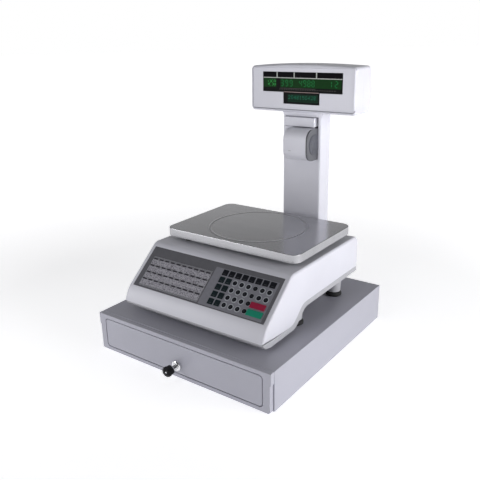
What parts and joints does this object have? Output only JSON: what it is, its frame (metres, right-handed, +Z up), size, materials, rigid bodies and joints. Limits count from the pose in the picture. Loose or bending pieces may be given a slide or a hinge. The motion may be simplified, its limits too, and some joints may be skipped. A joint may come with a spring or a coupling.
{
  "type": "retail price scale",
  "caption": "Price-computing counter scale on a cash drawer, with a steel platter, sloping keypad, display tower and label printer.",
  "frame": {"origin": "on the supporting surface, below the middle of the object's box", "axes": "+Z up, +X to the operator's right, -Y towards the operator, who faces the keypad and the drawer's front"},
  "size_m": [0.45, 0.5637, 0.591],
  "materials": {
    "steel_paint": "satin powder coat",
    "housing_plastic": "fine-textured moulding",
    "chassis_plastic": "fine-textured moulding",
    "keypad_film": "satin film",
    "card": "printed sheet under film",
    "red_key": "satin",
    "green_key": "satin",
    "black_plastic": "moulded",
    "dark_plastic": "moulded",
    "rubber": "matt",
    "chrome": "polished",
    "stainless": "satin",
    "zinc_steel": "zinc plated",
    "aluminium": "machined",
    "display_lens": "polished dark filter",
    "circuit_board": "solder resist",
    "paper": "uncoated",
    "vial": "clear liquid-filled"
  },
  "bodies": {
    "base": {"drawer_cover": "steel_paint", "drawer_case": "steel_paint", "front_frame": "steel_paint", "slide_channel_left": "zinc_steel", "slide_channel_right": "zinc_steel", "latch_solenoid": "zinc_steel", "eject_spring": "zinc_steel", "base_pad_1": "rubber", "base_pad_2": "rubber", "base_pad_3": "rubber", "base_pad_4": "rubber", "scale_chassis": "chassis_plastic", "upper_housing": "housing_plastic", "keypad_overlay": "keypad_film", "product_card": "card", "keypad_board": "circuit_board", "main_board": "circuit_board", "power_supply": "zinc_steel", "load_cell": "aluminium", "platter_spider": "aluminium", "bubble_level": "vial", "power_inlet": "black_plastic", "tower_front_shell": "housing_plastic", "tower_rear_shell": "housing_plastic", "tower_bracket": "zinc_steel", "printer_frame": "dark_plastic", "print_head": "housing_plastic", "display_bezel": "housing_plastic", "operator_lens": "display_lens", "customer_lens": "display_lens", "display_board": "circuit_board"},
    "drawer": {"drawer_front": "steel_paint", "drawer_tray": "zinc_steel", "till_insert": "black_plastic", "lock_barrel": "chrome"},
    "lock": {"lock_plug": "chrome", "lock_cam": "zinc_steel", "key_blade": "chrome", "key_head": "black_plastic"},
    "clip_1": {"bill_clip_1": "dark_plastic"},
    "clip_2": {"bill_clip_2": "dark_plastic"},
    "clip_3": {"bill_clip_3": "dark_plastic"},
    "clip_4": {"bill_clip_4": "dark_plastic"},
    "clip_5": {"bill_clip_5": "dark_plastic"},
    "rear_roller_left": {"rear_roller_left": "dark_plastic"},
    "rear_roller_right": {"rear_roller_right": "dark_plastic"},
    "front_roller_left": {"front_roller_left": "dark_plastic"},
    "front_roller_right": {"front_roller_right": "dark_plastic"},
    "latch": {"latch_plunger": "chrome"},
    "platter": {"weighing_platter": "stainless"},
    "foot_1": {"levelling_foot_1": "rubber"},
    "foot_2": {"levelling_foot_2": "rubber"},
    "foot_3": {"levelling_foot_3": "rubber"},
    "foot_4": {"levelling_foot_4": "rubber"},
    "cover": {"printer_cover": "housing_plastic"},
    "roll": {"paper_roll": "paper"},
    "platen": {"platen_roller": "rubber"},
    "switch": {"power_switch": "black_plastic"},
    "cancel": {"cancel_key": "red_key"},
    "enter": {"enter_key": "green_key"}
  },
  "joints": [
    {"name": "drawer_slide", "type": "slide", "parent": "base", "child": "drawer", "axis": [0, -1, 0], "range_m": [0, 0.33]},
    {"name": "lock_turn", "type": "hinge", "parent": "drawer", "child": "lock", "pos_m": [0, -0.2429, 0.03], "axis": [0, -1, 0], "range_deg": [0, 90]},
    {"name": "clip_1_lift", "type": "hinge", "parent": "drawer", "child": "clip_1", "pos_m": [-0.1576, 0.1619, 0.063], "axis": [-1, 0, 0], "range_deg": [0, 28], "stiffness_Nm_per_rad": 0.02, "springref_deg": -20.05},
    {"name": "clip_2_lift", "type": "hinge", "parent": "drawer", "child": "clip_2", "pos_m": [-0.0788, 0.1619, 0.063], "axis": [-1, 0, 0], "range_deg": [0, 28], "stiffness_Nm_per_rad": 0.02, "springref_deg": -20.05},
    {"name": "clip_3_lift", "type": "hinge", "parent": "drawer", "child": "clip_3", "pos_m": [0, 0.1619, 0.063], "axis": [-1, 0, 0], "range_deg": [0, 28], "stiffness_Nm_per_rad": 0.02, "springref_deg": -20.05},
    {"name": "clip_4_lift", "type": "hinge", "parent": "drawer", "child": "clip_4", "pos_m": [0.0788, 0.1619, 0.063], "axis": [-1, 0, 0], "range_deg": [0, 28], "stiffness_Nm_per_rad": 0.02, "springref_deg": -20.05},
    {"name": "clip_5_lift", "type": "hinge", "parent": "drawer", "child": "clip_5", "pos_m": [0.1576, 0.1619, 0.063], "axis": [-1, 0, 0], "range_deg": [0, 28], "stiffness_Nm_per_rad": 0.02, "springref_deg": -20.05},
    {"name": "rear_roller_left_spin", "type": "hinge", "parent": "drawer", "child": "rear_roller_left", "pos_m": [-0.211, 0.1794, 0.0435], "axis": [1, 0, 0], "continuous": true},
    {"name": "rear_roller_right_spin", "type": "hinge", "parent": "drawer", "child": "rear_roller_right", "pos_m": [0.211, 0.1794, 0.0435], "axis": [1, 0, 0], "continuous": true},
    {"name": "front_roller_left_spin", "type": "hinge", "parent": "base", "child": "front_roller_left", "pos_m": [-0.1905, -0.2221, 0.009], "axis": [1, 0, 0], "continuous": true},
    {"name": "front_roller_right_spin", "type": "hinge", "parent": "base", "child": "front_roller_right", "pos_m": [0.1905, -0.2221, 0.009], "axis": [1, 0, 0], "continuous": true},
    {"name": "latch_lift", "type": "slide", "parent": "base", "child": "latch", "axis": [0, 0, 1], "range_m": [0, 0.004]},
    {"name": "platter_lift_off", "type": "slide", "parent": "base", "child": "platter", "axis": [0, 0, 1], "range_m": [0, 0.06]},
    {"name": "foot_1_turn", "type": "hinge", "parent": "base", "child": "foot_1", "pos_m": [-0.157, -0.0476, 0.0871], "axis": [0, 0, 1], "continuous": true},
    {"name": "foot_2_turn", "type": "hinge", "parent": "base", "child": "foot_2", "pos_m": [0.157, -0.0476, 0.0871], "axis": [0, 0, 1], "continuous": true},
    {"name": "foot_3_turn", "type": "hinge", "parent": "base", "child": "foot_3", "pos_m": [-0.157, 0.1254, 0.0871], "axis": [0, 0, 1], "continuous": true},
    {"name": "foot_4_turn", "type": "hinge", "parent": "base", "child": "foot_4", "pos_m": [0.157, 0.1254, 0.0871], "axis": [0, 0, 1], "continuous": true},
    {"name": "cover_open", "type": "hinge", "parent": "base", "child": "cover", "pos_m": [0.0305, 0.1999, 0.379], "axis": [1, 0, 0], "range_deg": [0, 75]},
    {"name": "roll_spin", "type": "hinge", "parent": "base", "child": "roll", "pos_m": [0.032, 0.1869, 0.41425], "axis": [1, 0, 0], "continuous": true},
    {"name": "platen_spin", "type": "hinge", "parent": "base", "child": "platen", "pos_m": [0.0305, 0.2109, 0.446], "axis": [1, 0, 0], "continuous": true},
    {"name": "switch_rock", "type": "hinge", "parent": "base", "child": "switch", "pos_m": [-0.088, 0.188, 0.178], "axis": [1, 0, 0], "range_deg": [0, 14]},
    {"name": "cancel_press", "type": "slide", "parent": "base", "child": "cancel", "axis": [0, 0.6428, -0.766], "range_m": [0, 0.001], "stiffness_N_per_m": 300},
    {"name": "enter_press", "type": "slide", "parent": "base", "child": "enter", "axis": [0, 0.6428, -0.766], "range_m": [0, 0.001], "stiffness_N_per_m": 300}
  ],
  "couplings": [
    {"joint": "rear_roller_left_spin", "follows": "drawer_slide", "rad_per_m": 166.67},
    {"joint": "rear_roller_right_spin", "follows": "drawer_slide", "rad_per_m": 166.67},
    {"joint": "front_roller_left_spin", "follows": "drawer_slide", "rad_per_m": 227.27},
    {"joint": "front_roller_right_spin", "follows": "drawer_slide", "rad_per_m": 227.27},
    {"joint": "platen_spin", "follows": "roll_spin", "ratio": 5.7}
  ]
}
